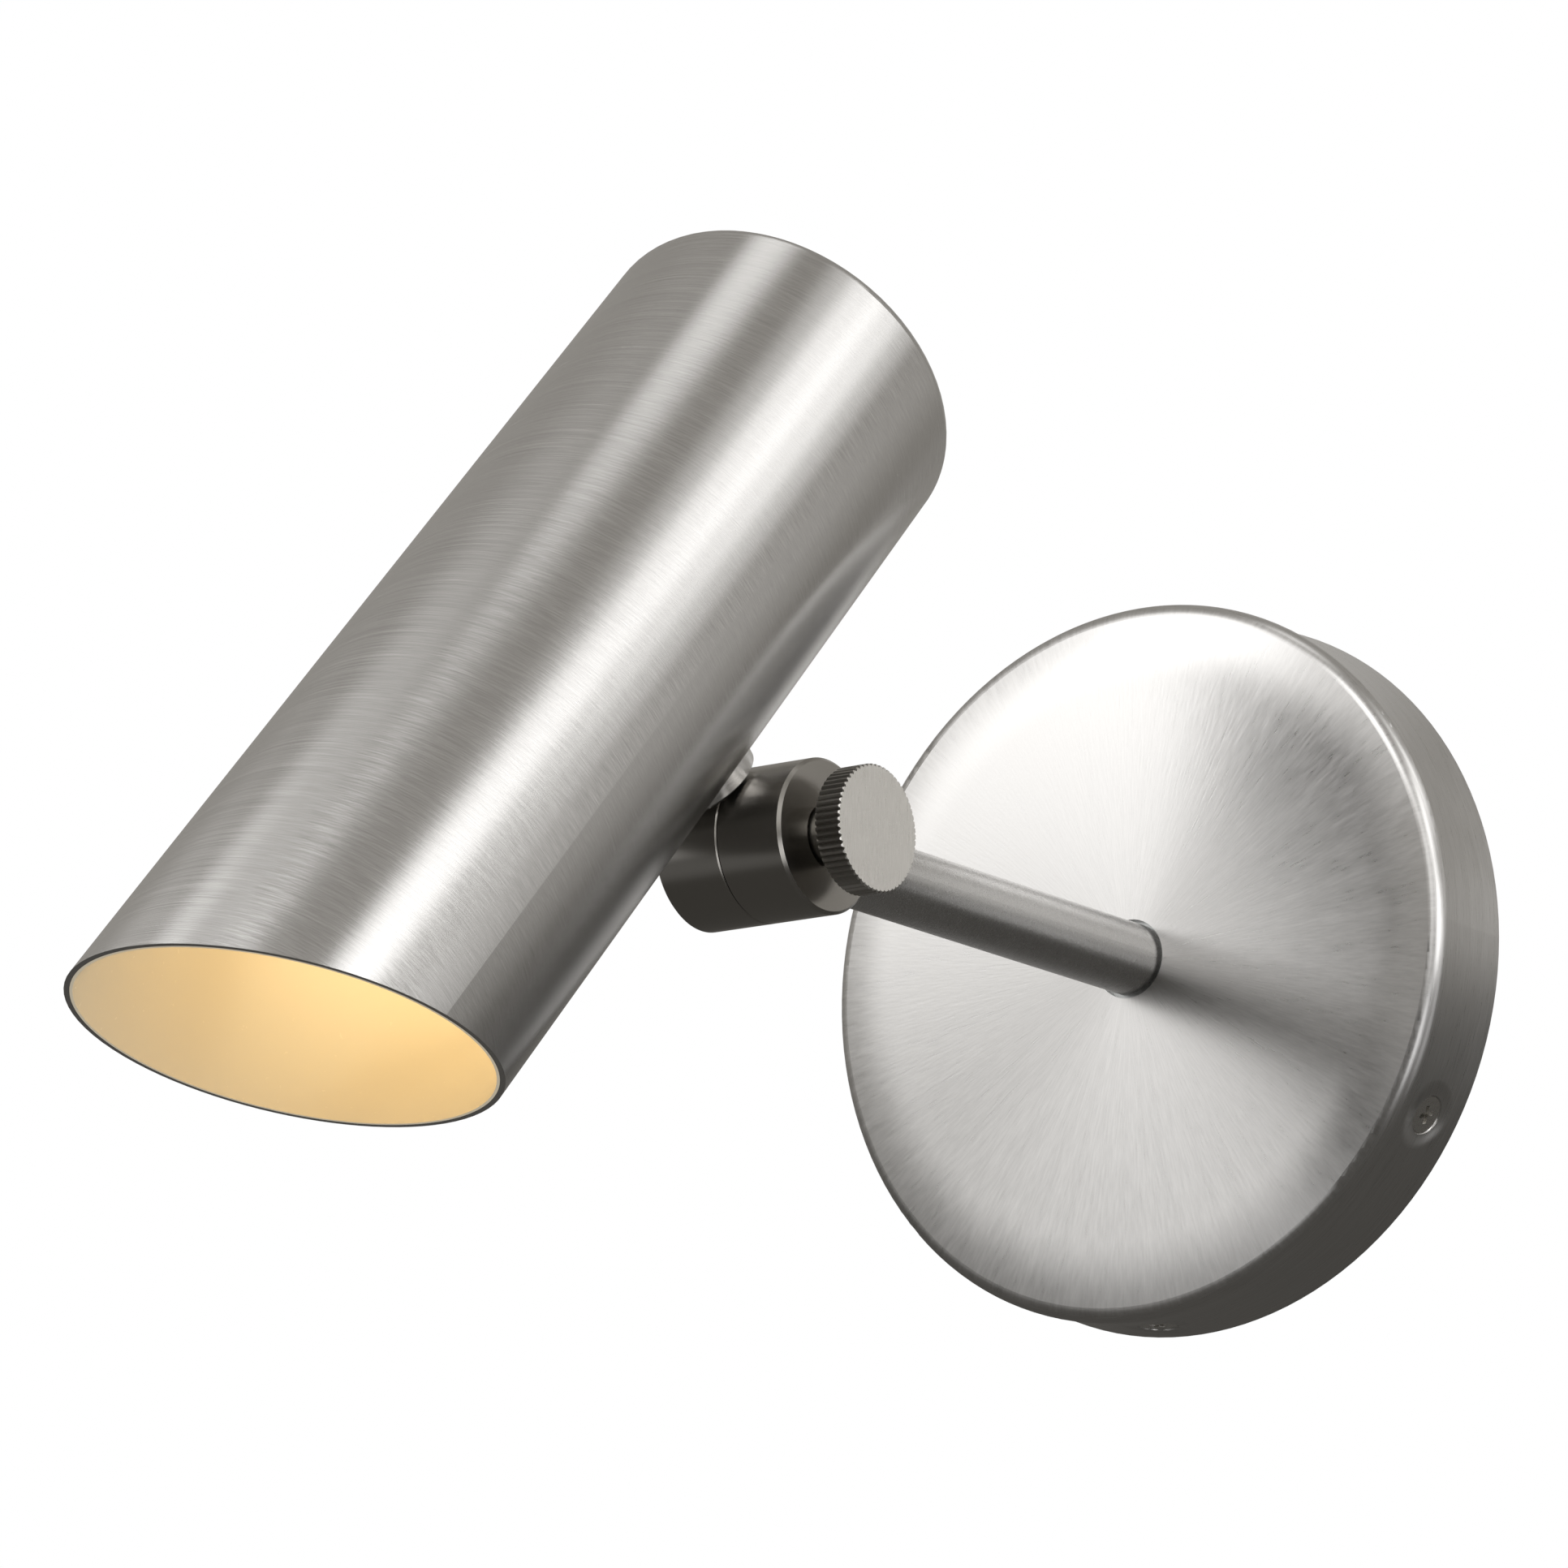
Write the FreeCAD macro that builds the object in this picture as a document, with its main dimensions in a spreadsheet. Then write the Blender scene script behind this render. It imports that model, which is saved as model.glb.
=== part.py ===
"""Tube wall light: a round canopy on the wall, a straight arm, a clamped tilt knuckle and a tubular shade.

Frame: the wall is the plane y = 0, the light stands out towards -Y, +Z is up and the origin is the centre
of the canopy on the wall. All sizes are in millimetres and degrees.

Pieces of the fixed base are drawn in that frame, or in the knuckle's frame, whose origin is where the arm's
axis meets the knuckle's axis. Pieces of the head are drawn in the tube's own frame: the tube's axis is Z,
its closed end is up, the knuckle lies towards +Y, and z = 0 is level with the stem that carries the tube.
"""
import FreeCAD
import Part
import Sketcher
import math
import os

doc = FreeCAD.newDocument("TubeWallLight")
sheet = doc.addObject("Spreadsheet::Sheet", "Sizes")


class Size:
    """A number together with the sheet formula that gives it."""

    def __init__(self, value, text):
        self.value = value
        self.text = text

    def __add__(self, other):
        other = size(other)
        return Size(self.value + other.value, f"({self.text} + {other.text})")

    def __sub__(self, other):
        other = size(other)
        return Size(self.value - other.value, f"({self.text} - {other.text})")

    def __mul__(self, other):
        other = size(other)
        return Size(self.value * other.value, f"({self.text} * {other.text})")

    def __truediv__(self, other):
        other = size(other)
        return Size(self.value / other.value, f"({self.text} / {other.text})")

    def __neg__(self):
        return Size(-self.value, f"(-1 * {self.text})")


def size(number):
    """The number as a Size."""
    return number if isinstance(number, Size) else Size(float(number), repr(float(number)))


def root(square):
    return Size(math.sqrt(square.value), f"sqrt({square.text})")


def sine(angle):
    return Size(math.sin(math.radians(angle.value)), f"sin({angle.text})")


def cosine(angle):
    return Size(math.cos(math.radians(angle.value)), f"cos({angle.text})")


def tangent(angle):
    return Size(math.tan(math.radians(angle.value)), f"tan({angle.text})")


def across(diameter, offset):
    """Distance from the axis, at right angles to the offset, of a cylinder's surface at that offset."""
    radius = diameter / 2
    return root(radius * radius - offset * offset)


row = 0


def cell(alias, value, note):
    """One driving size: a row of the sheet with its value, its alias and what it is."""
    global row
    row += 1
    sheet.set(f"A{row}", alias)
    sheet.set(f"B{row}", str(value))
    sheet.set(f"C{row}", note)
    sheet.setAlias(f"B{row}", alias)
    return Size(float(value), f"Sizes.{alias}")


# Canopy, bracket and their fasteners
canopy_dia = cell("canopy_dia", 120, "canopy, outside diameter at the wall")
canopy_depth = cell("canopy_depth", 17.9, "canopy, wall to its face")
canopy_wall = cell("canopy_wall", 1.2, "canopy, sheet thickness")
canopy_corner = cell("canopy_corner", 2.2, "outer radius between the face and the side")
canopy_waist = cell("canopy_waist", 0.35, "how far the side is drawn in at its middle")
arm_hole_gap = cell("arm_hole_gap", 0.6, "gap round the arm in the canopy's hole")
screw_spacing = cell("screw_spacing", 60, "angle between neighbouring side screws")
screw_height = cell("screw_height", 8.4, "side screws' distance from the wall")
screw_head_dia = cell("screw_head_dia", 6.4, "side screw, countersunk head")
screw_head_tall = cell("screw_head_tall", 1.7, "side screw, depth of the head's cone")
screw_sink = cell("screw_sink", 0.5, "side screw's head below the canopy's diameter")
screw_dia = cell("screw_dia", 3.5, "side screw, shank")
screw_long = cell("screw_long", 8, "side screw, length with its head")
screw_gap = cell("screw_gap", 0.1, "clearance round a screw")
dimple_wall = cell("dimple_wall", 0.8, "metal round a side screw's dimple")
plate_thick = cell("plate_thick", 1.6, "bracket, sheet thickness")
plate_gap = cell("plate_gap", 6.45, "bracket's disc to the inside of the canopy")
tongue_root = cell("tongue_root", 6, "bracket tab's tongue, start inside the disc's edge")
tab_gap = cell("tab_gap", 0.15, "bracket tab to the dimple it carries")
tab_wide = cell("tab_wide", 14, "bracket tab, width")
tab_tall = cell("tab_tall", 13.2, "bracket tab, wall to its top")
wire_hole_dia = cell("wire_hole_dia", 44, "bracket, opening for the house wires")
slot_pitch = cell("slot_pitch", 79.4, "bracket, centre to centre of opposite slots")
slot_long = cell("slot_long", 14.3, "bracket slot, end to end")
slot_wide = cell("slot_wide", 4.8, "bracket slot, width")
ground_place = cell("ground_place", 26, "ground screw, sideways and up from the centre")
ground_dia = cell("ground_dia", 4, "ground screw, shank")
ground_long = cell("ground_long", 7, "ground screw, overall length")
ground_head_dia = cell("ground_head_dia", 8, "ground screw, head")
ground_head_tall = cell("ground_head_tall", 2.8, "ground screw, head height")

# Arm
arm_dia = cell("arm_dia", 12, "arm, outside diameter")
arm_bore = cell("arm_bore", 6.5, "arm, wire passage")
arm_reach = cell("arm_reach", 108.4, "wall to the knuckle's axis")
knuckle_lift = cell("knuckle_lift", 1.6, "knuckle's axis above the arm's")
thread_dia = cell("thread_dia", 10, "arm ends and stem, threaded diameter")
thread_gap = cell("thread_gap", 0.05, "clearance round a threaded end in its hole")
backing_dia = cell("backing_dia", 40, "backing plate inside the canopy")
backing_thick = cell("backing_thick", 2.5, "backing plate, thickness")
washer_dia = cell("washer_dia", 18, "lock washer, outside diameter")
washer_thick = cell("washer_thick", 0.8, "lock washer, thickness")
nut_flats = cell("nut_flats", 14, "nut, across flats")
nut_tall = cell("nut_tall", 3.2, "nut, height")
thread_past = cell("thread_past", 1, "thread left standing past a nut")
bushing_lip = cell("bushing_lip", 1.2, "wire bushing, thickness of its lip")
bushing_deep = cell("bushing_deep", 4, "wire bushing, length in the bore")
bushing_wall = cell("bushing_wall", 0.8, "wire bushing, wall")

# Knuckle and thumbscrew
knuckle_dia = cell("knuckle_dia", 24.5, "knuckle, diameter")
half_long = cell("half_long", 12.2, "length of each knuckle half")
half_gap = cell("half_gap", 0.12, "gap at the parting line")
half_edge = cell("half_edge", 0.5, "chamfer of the knuckle's ends")
parting_edge = cell("parting_edge", 0.2, "chamfer at the parting line")
chamber_in = cell("chamber_in", 13, "knuckle's wire chamber, inner diameter")
chamber_out = cell("chamber_out", 20, "knuckle's wire chamber, outer diameter")
chamber_deep = cell("chamber_deep", 4, "knuckle's wire chamber, depth in each half")
arm_seat_gap = cell("arm_seat_gap", 0.05, "arm to the wall of its notch in the knuckle")
socket_step = cell("socket_step", 0.4, "threaded socket's floor outside the chamber's inner wall")
spigot_long = cell("spigot_long", 2.6, "threaded length past a shoulder, into the knuckle")
friction_dia = cell("friction_dia", 11, "friction washer, outside diameter")
friction_thick = cell("friction_thick", 1, "friction washer, thickness")
friction_sink = cell("friction_sink", 0.5, "depth of the washer's seat in the arm half")
clamp_dia = cell("clamp_dia", 6, "thumbscrew, shank diameter")
clamp_gap = cell("clamp_gap", 0.06, "running clearance round the shank")
clamp_deep = cell("clamp_deep", 8.5, "thumbscrew, depth of its hole in the head half")
clamp_tip = cell("clamp_tip", 0.8, "thumbscrew's end to the floor of its hole")
neck_dia = cell("neck_dia", 9.2, "thumbscrew, neck diameter")
neck_gap = cell("neck_gap", 0.5, "gap round the neck in the end recess")
neck_sink = cell("neck_sink", 1.4, "depth of the recess that takes the neck")
spring_thick = cell("spring_thick", 0.6, "spring washer under the neck, thickness")
knob_stand = cell("knob_stand", 5, "knuckle's end to the knob")
knob_dia = cell("knob_dia", 20, "knob, over the knurl")
knob_thick = cell("knob_thick", 4.7, "knob, thickness")
knurl_count = cell("knurl_count", 60, "grooves of the knurl")
knurl_deep = cell("knurl_deep", 0.45, "depth of a knurl groove")
knob_edge = cell("knob_edge", 0.2, "chamfer of the knob's rim")

# Head
head_tilt = cell("head_tilt", 41.5, "tube's axis from the vertical, as pictured")
tube_dia = cell("tube_dia", 60, "tube, outside diameter")
tube_wall = cell("tube_wall", 1.2, "tube, wall")
tube_back = cell("tube_back", 64.4, "stem to the tube's closed end")
tube_front = cell("tube_front", 104.3, "stem to the mouth, on the axis")
tube_mitre = cell("tube_mitre", 30, "slant of the mouth from square")
tube_corner = cell("tube_corner", 2.4, "outer radius of the closed end")
boss_dia = cell("boss_dia", 20, "collar under the tube, diameter")
boss_tall = cell("boss_tall", 2.45, "collar, height under the tube")
boss_gap = cell("boss_gap", 0.3, "collar to the knuckle's round")
boss_edge = cell("boss_edge", 0.4, "chamfer of the collar's lower edge")
pad_dia = cell("pad_dia", 12, "seat for the collar on the knuckle, diameter")
saddle_gap = cell("saddle_gap", 0.02, "collar to the tube")
strap_wide = cell("strap_wide", 16, "lampholder strap, width")
strap_thick = cell("strap_thick", 1.5, "lampholder strap, thickness")
strap_shelf = cell("strap_shelf", 26, "stem to the lampholder's seat, towards the closed end")
strap_tail = cell("strap_tail", 11, "strap past the stem, towards the mouth")
strap_reach = cell("strap_reach", 16, "strap's shelf past the tube's axis")
holder_dia = cell("holder_dia", 30, "lampholder, diameter")
holder_tall = cell("holder_tall", 15, "lampholder, height")
holder_deep = cell("holder_deep", 4, "lampholder, recess for the lamp's base")
pin_pitch = cell("pin_pitch", 10, "lamp, centre to centre of its pins")
pin_dia = cell("pin_dia", 4.8, "lamp pin, diameter")
pin_long = cell("pin_long", 6.5, "lamp pin, length")
pin_gap = cell("pin_gap", 0.4, "clearance round a pin or the base")
holder_screw_pitch = cell("holder_screw_pitch", 24, "distance between the two holder screws")
holder_screw_dia = cell("holder_screw_dia", 3, "holder screw, shank")
holder_screw_long = cell("holder_screw_long", 7, "holder screw, length under the head")
holder_head_dia = cell("holder_head_dia", 5.6, "holder screw, head diameter")
holder_head_tall = cell("holder_head_tall", 2, "holder screw, head height")
base_dia = cell("base_dia", 20, "lamp base, diameter")
base_tall = cell("base_tall", 16, "lamp base, height")
cup_tall = cell("cup_tall", 34, "lamp's reflector, length")
cup_dia = cell("cup_dia", 50, "lamp's reflector, rim diameter")
cup_wall = cell("cup_wall", 1.2, "lamp's reflector, wall")
cup_rim = cell("cup_rim", 3, "lamp's reflector, height of its rim")
lens_thick = cell("lens_thick", 1.6, "lamp's lens, thickness")
lens_gap = cell("lens_gap", 0.1, "lamp's lens to the rim")
doc.recompute()

BASE_ROLE = {"X": "X_Axis", "Y": "Y_Axis", "Z": "Z_Axis", "XY": "XY_Plane", "XZ": "XZ_Plane", "YZ": "YZ_Plane"}


def origin_of(body, key):
    """One of a body's own axes or planes."""
    return next(item for item in body.Origin.OriginFeatures if item.Role == BASE_ROLE[key])


def bind(thing, prop, value):
    """Ties a property to the sheet."""
    thing.setExpression(prop, size(value).text)


def new_body(name):
    body = doc.addObject("PartDesign::Body", name)
    body.Label = name
    return body


def new_sketch(body, name, plane, turn=None):
    """A sketch on one of the body's planes, optionally turned about that plane's first axis or normal."""
    sketch = body.newObject("Sketcher::SketchObject", f"{body.Name}_{name}")
    sketch.AttachmentSupport = [(origin_of(body, plane), "")]
    sketch.MapMode = "FlatFace"
    if turn:
        axis, angle = turn
        x, y, z = axis
        text = f"placement(vector(0; 0; 0); vector({x}; {y}; {z}); {size(angle).text})"
        sketch.AttachmentOffset = FreeCAD.Placement(FreeCAD.Vector(), FreeCAD.Vector(*axis), size(angle).value)
        sketch.setExpression("AttachmentOffset", text)
    return sketch


def pin_point(sketch, item, end, point):
    """Fixes one end of a sketch line or arc at sizes from the sheet."""
    for kind, value in zip(("DistanceX", "DistanceY"), point):
        value = size(value)
        index = sketch.addConstraint(Sketcher.Constraint(kind, -1, 1, item, end, value.value))
        sketch.setExpression(f"Constraints[{index}]", value.text)


def draw_outline(sketch, points, arcs=()):
    """A closed outline through the points; arcs maps a point's number to the centre and radius that follow it."""
    arcs = dict(arcs)
    spots = [FreeCAD.Vector(size(x).value, size(y).value, 0) for x, y in points]
    first = sketch.GeometryCount
    last = len(points) - 1
    ends = []
    for number, start in enumerate(spots):
        stop = spots[0 if number == last else number + 1]
        if number not in arcs:
            sketch.addGeometry(Part.LineSegment(start, stop))
            ends.append((1, 2))
            continue
        centre_x, centre_y, radius = (size(item).value for item in arcs[number])
        circle = Part.Circle(FreeCAD.Vector(centre_x, centre_y, 0), FreeCAD.Vector(0, 0, 1), radius)
        from_angle = math.atan2(start.y - centre_y, start.x - centre_x)
        to_angle = math.atan2(stop.y - centre_y, stop.x - centre_x)
        forward = (to_angle - from_angle) % (2 * math.pi) < math.pi
        low, high = (from_angle, to_angle) if forward else (to_angle, from_angle)
        sketch.addGeometry(Part.ArcOfCircle(circle, low, high))
        ends.append((1, 2) if forward else (2, 1))
    for number in range(len(points)):
        item = first + number
        following = first + (0 if number == last else number + 1)
        start_end = ends[following - first][0]
        sketch.addConstraint(Sketcher.Constraint("Coincident", item, ends[number][1], following, start_end))
    for number, point in enumerate(points):
        pin_point(sketch, first + number, ends[number][0], point)
    for number, (centre_x, centre_y, radius) in arcs.items():
        radius = size(radius)
        index = sketch.addConstraint(Sketcher.Constraint("Radius", first + number, radius.value))
        sketch.setExpression(f"Constraints[{index}]", radius.text)


def draw_circle(sketch, centre, diameter):
    x, y = (size(item) for item in centre)
    diameter = size(diameter)
    circle = Part.Circle(FreeCAD.Vector(x.value, y.value, 0), FreeCAD.Vector(0, 0, 1), diameter.value / 2)
    item = sketch.addGeometry(circle)
    pin_point(sketch, item, 3, (x, y))
    index = sketch.addConstraint(Sketcher.Constraint("Diameter", item, diameter.value))
    sketch.setExpression(f"Constraints[{index}]", diameter.text)


def turned(body, name, plane, axis, points, arcs=(), cut=False, turn=None):
    """Material turned about one of the body's axes, or taken away with cut."""
    sketch = new_sketch(body, name, plane, turn)
    draw_outline(sketch, points, arcs)
    feature = body.newObject(f"PartDesign::{'Groove' if cut else 'Revolution'}", f"{body.Name}_{name}_turned")
    feature.Profile = sketch
    feature.ReferenceAxis = (sketch, [axis])
    feature.Angle = 360
    sketch.Visibility = False
    return feature


def padded(body, sketch, length, reverse=False, midplane=False):
    pad = body.newObject("PartDesign::Pad", f"{sketch.Name}_pad")
    pad.Profile = sketch
    bind(pad, "Length", length)
    pad.Reversed = reverse
    pad.Midplane = midplane
    return pad


def pocketed(body, sketch, length, reverse=False, midplane=False):
    pocket = body.newObject("PartDesign::Pocket", f"{sketch.Name}_pocket")
    pocket.Profile = sketch
    bind(pocket, "Length", length)
    pocket.Reversed = reverse
    pocket.Midplane = midplane
    return pocket


def cylinder(body, name, diameter, length, at, turn, cut=True, widen=None):
    """A round hole, or a round boss where cut is false, that starts at a point and runs along a turned Z axis."""
    kind = "Cylinder" if widen is None else "Cone"
    feature = body.newObject(f"PartDesign::{'Subtractive' if cut else 'Additive'}{kind}", f"{body.Name}_{name}")
    if widen is None:
        bind(feature, "Radius", size(diameter) / 2)
    else:
        bind(feature, "Radius1", size(diameter) / 2)
        bind(feature, "Radius2", size(widen) / 2)
    bind(feature, "Height", length)
    axis, angle = turn
    text = "; ".join(size(item).text for item in at)
    x, y, z = axis
    feature.setExpression("AttachmentOffset", f"placement(vector({text}); vector({x}; {y}; {z}); {size(angle).text})")
    feature.AttachmentSupport = [(origin_of(body, "XY"), "")]
    feature.MapMode = "FlatFace"
    return feature


def place(thing, origin, angle=0):
    """Puts a sub-part at its origin, turned about X."""
    text = "; ".join(size(item).text for item in origin)
    thing.setExpression("Placement", f"placement(vector({text}); vector(1; 0; 0); {size(angle).text})")


ALONG_X = ((0, 1, 0), 90)
ALONG_Y = ((1, 0, 0), -90)
AGAINST_Y = ((1, 0, 0), 90)
ALONG_Z = ((0, 0, 1), 0)
AGAINST_Z = ((1, 0, 0), 180)

# Distances used by more than one sub-part
half_canopy = canopy_dia / 2
canopy_inside = half_canopy - canopy_wall - canopy_waist
plate_radius = canopy_inside - plate_gap
face_edge = half_canopy - canopy_corner
side_tall = canopy_depth - canopy_corner
screw_top = half_canopy - screw_sink
dimple_floor = screw_top - screw_head_tall - dimple_wall
tab_outside = dimple_floor - tab_gap
backing_front = canopy_depth - canopy_wall
backing_back = backing_front - backing_thick
arm_nut_back = backing_back - washer_thick - nut_tall
arm_end = arm_nut_back - thread_past
knuckle_flat = across(knuckle_dia, arm_dia / 2 + knuckle_lift)
boss_seat = knuckle_dia / 2 + boss_gap
socket_floor = chamber_in / 2 + socket_step
knuckle_at = (0, -arm_reach, knuckle_lift)
tube_offset = tube_dia / 2 + boss_tall + boss_seat
head_step = -(half_long + half_gap)
stem_hole_dia = thread_dia + thread_gap * 2
stem_foot = boss_seat - spigot_long
strap_outside = across(tube_dia - tube_wall * 2, strap_wide / 2)
strap_inside = strap_outside - strap_thick
stem_nut_back = strap_inside - washer_thick - nut_tall
holder_mouth = strap_shelf - holder_tall
base_seat = holder_mouth + holder_deep - pin_gap
cup_seat = base_seat - base_tall
cup_mouth = cup_seat - cup_tall
lens_seat = cup_mouth + lens_gap * 2


def radial(distance, count):
    """A point on a side screw's axis: count spacings round from the lowest screw."""
    angle = screw_spacing * count
    return distance * sine(angle), -screw_height, -(distance * cosine(angle))


def make_canopy():
    body = new_body("canopy")
    mouth = arm_dia / 2 + arm_hole_gap
    inner = canopy_inside
    inner_top = canopy_depth - canopy_wall
    points = [(half_canopy, 0)]
    for quarter in (1, 2, 3):
        drawn_in = canopy_waist * (quarter * (4 - quarter) / 4)
        points.append((half_canopy - drawn_in, -(side_tall * (quarter / 4))))
    points.append((half_canopy, -side_tall))
    points += [(face_edge, -canopy_depth), (mouth, -canopy_depth), (mouth, -inner_top)]
    points += [(inner - 1, -inner_top), (inner, size(1) - inner_top), (inner, 0)]
    arcs = {4: (face_edge, -side_tall, canopy_corner)}
    turned(body, "shell", "XY", "V_Axis", points, arcs)
    wide = screw_head_dia + dimple_wall * 2
    for count in (-1, 0, 1):
        turn = ((0, 1, 0), screw_spacing * -count + 180)
        reach = half_canopy - canopy_waist - canopy_wall / 2 - dimple_floor
        start = radial(dimple_floor, count)
        cylinder(body, f"dimple_{count + 2}", wide, reach, start, turn, cut=False)
    for count in (-1, 0, 1):
        turn = ((0, 1, 0), screw_spacing * -count + 180)
        hole = screw_dia + screw_gap * 2
        cylinder(body, f"hole_{count + 2}", hole, 8, radial(dimple_floor - 3, count), turn)
        sink_foot = screw_top - screw_head_tall
        mouth_dia = screw_head_dia + screw_gap * 4
        cylinder(body, f"sink_{count + 2}", hole, screw_head_tall, radial(sink_foot, count), turn, widen=mouth_dia)
        cylinder(body, f"clear_{count + 2}", mouth_dia, 2, radial(screw_top, count), turn)
    return body


def make_backing_plate():
    body = new_body("backing_plate")
    hole = stem_hole_dia / 2
    rim = backing_dia / 2
    points = [(hole, -backing_front), (rim, -backing_front), (rim, -backing_back), (hole, -backing_back)]
    turned(body, "disc", "XY", "V_Axis", points)
    return body


def make_bracket():
    body = new_body("mounting_bracket")
    disc = new_sketch(body, "disc", "XZ")
    draw_circle(disc, (0, 0), plate_radius * 2)
    draw_circle(disc, (0, 0), wire_hole_dia)
    padded(body, disc, plate_thick)
    half_tab = tab_wide / 2
    for count in (-1, 0, 1):
        turn = ((0, 0, 1), screw_spacing * count)
        foot = new_sketch(body, f"foot_{count + 2}", "XZ", turn)
        draw_outline(foot, box_points(-half_tab, half_tab, -tab_outside, tongue_root - plate_radius))
        padded(body, foot, plate_thick)
        tab = new_sketch(body, f"tab_{count + 2}", "XZ", turn)
        draw_outline(tab, box_points(-half_tab, half_tab, -tab_outside, plate_thick - tab_outside))
        padded(body, tab, tab_tall)
        drill = ((0, 1, 0), screw_spacing * -count + 180)
        cylinder(body, f"tap_{count + 2}", screw_dia + screw_gap * 2, 8, radial(tab_outside - 5, count), drill)
    slots = new_sketch(body, "slots", "XZ")
    reach = (slot_long - slot_wide) / 2
    for side in (-1, 1):
        middle = slot_pitch / 2 * side
        draw_outline(slots, box_points(middle - reach, middle + reach, slot_wide / -2, slot_wide / 2))
    pocketed(body, slots, plate_thick * 4, midplane=True)
    for number, (side, end) in enumerate(((-1, -1), (-1, 1), (1, -1), (1, 1)), 1):
        spot = (slot_pitch / 2 * side + reach * end, 2, 0)
        cylinder(body, f"slot_end_{number}", slot_wide, 8, spot, AGAINST_Y)
    spot = (ground_place, 2, ground_place)
    cylinder(body, "ground_hole", ground_dia + screw_gap * 2, 8, spot, AGAINST_Y)
    return body


def box_points(left, right, low, high):
    """The four corners of an upright rectangle."""
    return [(left, low), (right, low), (right, high), (left, high)]


def make_canopy_screws():
    """The three side screws as one group."""
    screws = []
    for count in (-1, 0, 1):
        body = new_body(f"side_screw_{count + 2}")
        head = screw_head_dia / 2
        shank = screw_dia / 2
        foot = screw_long - 1
        points = [(0, 0), (head, 0), (shank, -screw_head_tall), (shank, -foot), (shank - 1, -screw_long)]
        points.append((0, -screw_long))
        turned(body, "screw", "XZ", "V_Axis", points)
        text = "; ".join(item.text for item in (size(value) for value in radial(screw_top, count)))
        angle = screw_spacing * -count + 180
        body.setExpression("Placement", f"placement(vector({text}); vector(0; 1; 0); {angle.text})")
        screws.append(body)
    return grouped("canopy_screws", screws)


def grouped(name, bodies):
    group = doc.addObject("Part::Compound", name)
    group.Label = name
    group.Links = bodies
    return group


def make_ground_screw():
    body = new_body("ground_screw")
    head = ground_head_dia / 2
    shank = ground_dia / 2
    under = -plate_thick
    top = under - ground_head_tall
    foot = top + ground_long
    points = [(0, top), (head - 0.4, top), (head, top + 0.4), (head, under), (shank, under), (shank, foot), (0, foot)]
    turned(body, "screw", "XY", "V_Axis", points)
    place(body, (ground_place, 0, ground_place))
    return body


def make_washer(name, front):
    """A flat ring round a threaded end; front is its lower side on the Y axis."""
    body = new_body(name)
    hole = stem_hole_dia / 2
    rim = washer_dia / 2
    points = box_points(hole, rim, front, front + washer_thick)
    turned(body, "ring", "XY", "V_Axis", points)
    return body


def make_nut(name, front):
    """A hexagon nut on a threaded end, with its edges turned off; front is its lower side on the Y axis."""
    body = new_body(name)
    outline = new_sketch(body, "hexagon", "XZ")
    corner = nut_flats / 2 / cosine(size(30))
    points = []
    for number in range(6):
        turn = size(number * 60)
        points.append((corner * cosine(turn), corner * sine(turn)))
    draw_outline(outline, points)
    bind(outline, "AttachmentOffset.Base.z", -front)
    padded(body, outline, nut_tall, reverse=True)
    cylinder(body, "thread", stem_hole_dia, nut_tall + 2, (0, front - 1, 0), ALONG_Y)
    edge = 0.8
    past = corner + 1
    far = front + nut_tall
    turned(body, "corner_front", "XY", "V_Axis", [(corner - edge, front), (past, front), (past, front + edge)], cut=True)
    turned(body, "corner_back", "XY", "V_Axis", [(corner - edge, far), (past, far), (past, far - edge)], cut=True)
    return body


def make_arm():
    body = new_body("arm")
    bore = arm_bore / 2
    thread = thread_dia / 2
    outside = arm_dia / 2
    shoulder = arm_reach - knuckle_flat
    tip = shoulder + spigot_long
    edge = 0.3
    points = [
        (bore, -arm_end),
        (thread - edge, -arm_end),
        (thread, -arm_end - edge),
        (thread, -backing_front),
        (outside, -backing_front),
        (outside, -shoulder),
        (thread, -shoulder),
        (thread, -tip),
        (bore, -tip),
    ]
    turned(body, "rod", "XY", "V_Axis", points)
    return body


def make_bushing(name, end, way):
    """A lipped plastic sleeve in the mouth of a wire passage; way is +1 where the passage runs towards -Y."""
    body = new_body(name)
    bore = arm_bore / 2 - bushing_wall
    sleeve = arm_bore / 2 - 0.05
    lip = thread_dia / 2 - 0.5
    points = [
        (bore, end + bushing_lip * way),
        (lip, end + bushing_lip * way),
        (lip, end),
        (sleeve, end),
        (sleeve, end - bushing_deep * way),
        (bore, end - bushing_deep * way),
    ]
    turned(body, "sleeve", "XY", "V_Axis", points)
    return body


def half_profile(way, seat, end_points):
    """Outline of a knuckle half from its parting face; way is the side of the face that it lies on."""
    rim = knuckle_dia / 2
    parting = half_long / -2 * way
    seat_rim = friction_dia / 2 + 0.1
    points = [(seat, end_points[-1][1]), (seat, seat_rim), (0, seat_rim), (0, chamber_in / 2)]
    points += [(chamber_deep, chamber_in / 2), (chamber_deep, chamber_out / 2), (0, chamber_out / 2)]
    points += [(0, rim - parting_edge), (parting_edge, rim), (half_long - half_edge, rim), (half_long, rim - half_edge)]
    points += end_points
    return [(parting + size(along) * way, height) for along, height in points]


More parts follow.
